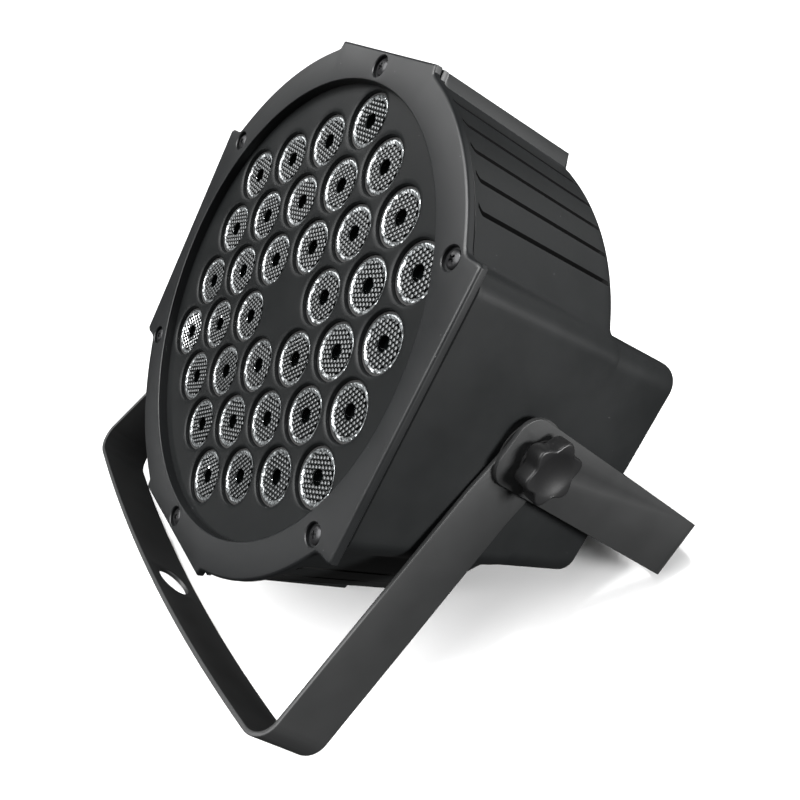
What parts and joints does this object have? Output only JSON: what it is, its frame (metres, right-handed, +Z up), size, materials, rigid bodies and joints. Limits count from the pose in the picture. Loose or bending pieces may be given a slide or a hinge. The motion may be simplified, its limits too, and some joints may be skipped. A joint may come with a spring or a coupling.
{
  "type": "par can light",
  "caption": "Flat round LED par can light with a black ribbed housing, clear lenses, a double steel yoke with star knobs, and a rear panel with fan, display and sockets.",
  "frame": {"origin": "middle of the footprint on the floor, under the two yokes", "axes": "+X to the lamp's right seen from in front of the yokes' pivot line, +Y towards the rear yoke's foot, +Z up"},
  "size_m": [0.2164, 0.2132, 0.2085],
  "materials": {
    "bezel_plastic": "satin",
    "panel_plastic": "matte",
    "housing_plastic": "satin",
    "cover_plastic": "matte",
    "knob_plastic": "satin",
    "button_plastic": "satin",
    "socket_plastic": "satin",
    "inner_plastic": "matte",
    "clear_lens": "gloss",
    "window_tint": "gloss",
    "display_red": "gloss",
    "led_chip": "gloss",
    "white_board": "satin",
    "green_board": "satin",
    "coil_tape": "satin",
    "can_sleeve": "satin",
    "pad_rubber": "matte",
    "painted_strap": "satin",
    "black_screw": "satin",
    "plain_steel": "satin",
    "bare_aluminium": "satin",
    "brass_part": "satin"
  },
  "bodies": {
    "head": {"front_bezel": "bezel_plastic", "bezel_screws": "black_screw", "lens_panel": "panel_plastic", "lenses": "clear_lens", "lens_holders": "inner_plastic", "board_standoffs": "brass_part", "led_board": "white_board", "led_chips": "led_chip", "heatsink": "bare_aluminium", "heatsink_screws": "plain_steel", "rear_housing": "housing_plastic", "pivot_insert_left": "brass_part", "pivot_insert_right": "brass_part", "friction_pad_left": "pad_rubber", "friction_pad_right": "pad_rubber", "rear_cover": "cover_plastic", "cover_screws": "black_screw", "fan_frame": "inner_plastic", "fan_guard": "plain_steel", "fan_screws": "plain_steel", "power_board_posts": "brass_part", "power_board": "green_board", "transformer": "coil_tape", "capacitors": "can_sleeve", "control_board_posts": "brass_part", "control_board": "green_board", "display_module": "display_red", "display_window": "window_tint", "tact_switches": "inner_plastic", "power_inlet": "socket_plastic", "power_inlet_pins": "plain_steel", "dmx_in_socket": "socket_plastic", "dmx_in_pins": "plain_steel", "dmx_out_socket": "socket_plastic", "socket_screws": "black_screw"},
    "front_yoke": {"front_yoke": "painted_strap"},
    "rear_yoke": {"rear_yoke": "painted_strap"},
    "fan_rotor": {"fan_rotor": "inner_plastic"},
    "washer_left": {"knob_washer_left": "plain_steel"},
    "washer_right": {"knob_washer_right": "plain_steel"},
    "knob_left": {"knob_left": "knob_plastic", "knob_stud_left": "plain_steel"},
    "knob_right": {"knob_right": "knob_plastic", "knob_stud_right": "plain_steel"},
    "button_menu": {"button_menu": "button_plastic"},
    "button_up": {"button_up": "button_plastic"},
    "button_down": {"button_down": "button_plastic"},
    "button_enter": {"button_enter": "button_plastic"},
    "release_tab": {"dmx_release_tab": "button_plastic"}
  },
  "joints": [
    {"name": "front_yoke_tilt", "type": "hinge", "parent": "head", "child": "front_yoke", "pos_m": [0, 0.00773, 0.09259], "axis": [1, 0, 0], "range_deg": [-99, 18]},
    {"name": "rear_yoke_tilt", "type": "hinge", "parent": "head", "child": "rear_yoke", "pos_m": [0, 0.00773, 0.09259], "axis": [1, 0, 0], "range_deg": [-18, 99]},
    {"name": "washer_left_slide", "type": "slide", "parent": "head", "child": "washer_left", "axis": [-1, 0, 0], "range_m": [0, 0.002]},
    {"name": "knob_left_turn", "type": "hinge", "parent": "washer_left", "child": "knob_left", "pos_m": [-0.104, 0.00773, 0.09259], "axis": [-1, 0, 0], "range_deg": [0, 720]},
    {"name": "washer_right_slide", "type": "slide", "parent": "head", "child": "washer_right", "axis": [1, 0, 0], "range_m": [0, 0.002]},
    {"name": "knob_right_turn", "type": "hinge", "parent": "washer_right", "child": "knob_right", "pos_m": [0.104, 0.00773, 0.09259], "axis": [1, 0, 0], "range_deg": [0, 720]},
    {"name": "fan_spin", "type": "hinge", "parent": "head", "child": "fan_rotor", "pos_m": [0, 0.04909, 0.06727], "axis": [0, 0.8529, -0.5221], "continuous": true},
    {"name": "button_menu_press", "type": "slide", "parent": "head", "child": "button_menu", "axis": [0, -0.8529, 0.5221], "range_m": [0, 0.0006], "stiffness_N_per_m": 2000, "springref_m": -0.0001},
    {"name": "button_up_press", "type": "slide", "parent": "head", "child": "button_up", "axis": [0, -0.8529, 0.5221], "range_m": [0, 0.0006], "stiffness_N_per_m": 2000, "springref_m": -0.0001},
    {"name": "button_down_press", "type": "slide", "parent": "head", "child": "button_down", "axis": [0, -0.8529, 0.5221], "range_m": [0, 0.0006], "stiffness_N_per_m": 2000, "springref_m": -0.0001},
    {"name": "button_enter_press", "type": "slide", "parent": "head", "child": "button_enter", "axis": [0, -0.8529, 0.5221], "range_m": [0, 0.0006], "stiffness_N_per_m": 2000, "springref_m": -0.0001},
    {"name": "release_tab_press", "type": "slide", "parent": "head", "child": "release_tab", "axis": [0, -0.8529, 0.5221], "range_m": [0, 0.0014], "stiffness_N_per_m": 800, "springref_m": -0.0002}
  ],
  "couplings": [
    {"joint": "knob_left_turn", "follows": "washer_left_slide", "rad_per_m": 6283.2},
    {"joint": "knob_right_turn", "follows": "washer_right_slide", "rad_per_m": 6283.2}
  ]
}
